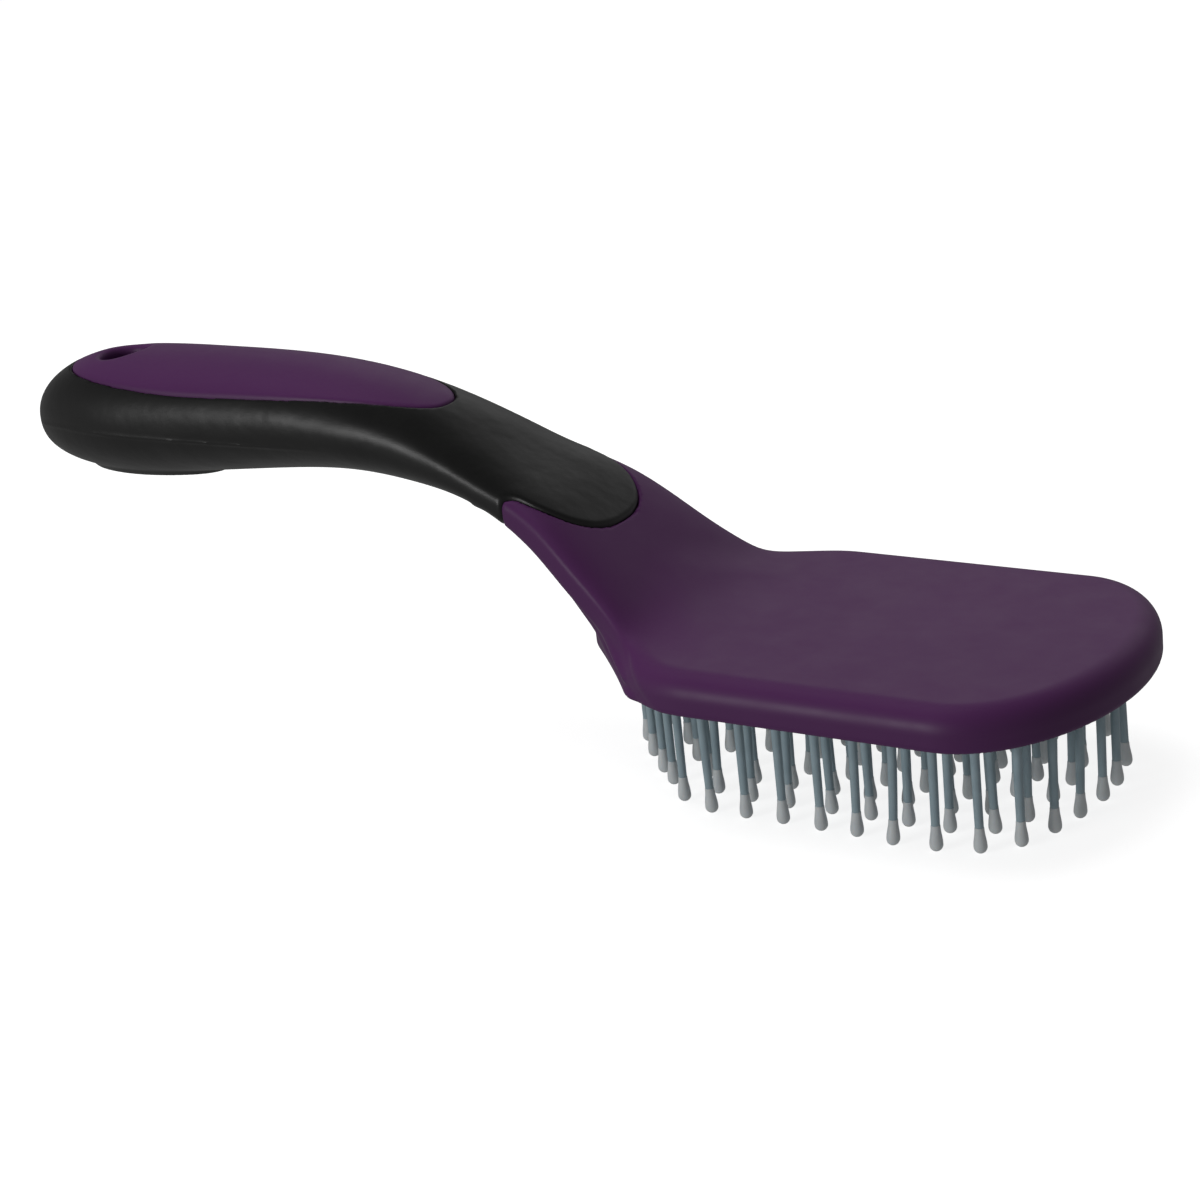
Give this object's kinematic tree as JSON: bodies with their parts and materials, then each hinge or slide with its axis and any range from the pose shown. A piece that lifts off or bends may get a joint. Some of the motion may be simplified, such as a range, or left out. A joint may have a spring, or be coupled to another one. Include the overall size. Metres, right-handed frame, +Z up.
{
  "type": "mane and tail brush",
  "caption": "Horse mane and tail pin brush: paddle head with ball-tipped pins on a raised, rubber-covered handle with a hanging hole.",
  "frame": {"origin": "middle of the brush's length and width, on the plane of the pin tips", "axes": "+X from the handle's end to the head's free end, +Y across the head, +Z up, away from the pins"},
  "size_m": [0.234, 0.068, 0.0677],
  "materials": {
    "body_plastic": "satin",
    "grip_rubber": "matte",
    "pad_nylon": "satin",
    "pin_nylon": "satin",
    "tip_nylon": "satin"
  },
  "bodies": {
    "root": {"brush_body": "body_plastic", "grip_cover": "grip_rubber", "pin_pad": "pad_nylon", "pins_centre_row": "pin_nylon", "pins_fourth_back": "pin_nylon", "pins_fourth_front": "pin_nylon", "pins_fourth_left": "pin_nylon", "pins_fourth_right": "pin_nylon", "pins_outer_back": "pin_nylon", "pins_outer_front": "pin_nylon", "pins_outer_left": "pin_nylon", "pins_outer_right": "pin_nylon", "pins_second_back": "pin_nylon", "pins_second_front": "pin_nylon", "pins_second_left": "pin_nylon", "pins_second_right": "pin_nylon", "pins_third_back": "pin_nylon", "pins_third_front": "pin_nylon", "pins_third_left": "pin_nylon", "pins_third_right": "pin_nylon", "tips_centre_row": "tip_nylon", "tips_fourth_back": "tip_nylon", "tips_fourth_front": "tip_nylon", "tips_fourth_left": "tip_nylon", "tips_fourth_right": "tip_nylon", "tips_outer_back": "tip_nylon", "tips_outer_front": "tip_nylon", "tips_outer_left": "tip_nylon", "tips_outer_right": "tip_nylon", "tips_second_back": "tip_nylon", "tips_second_front": "tip_nylon", "tips_second_left": "tip_nylon", "tips_second_right": "tip_nylon", "tips_third_back": "tip_nylon", "tips_third_front": "tip_nylon", "tips_third_left": "tip_nylon", "tips_third_right": "tip_nylon"}
  },
  "joints": []
}
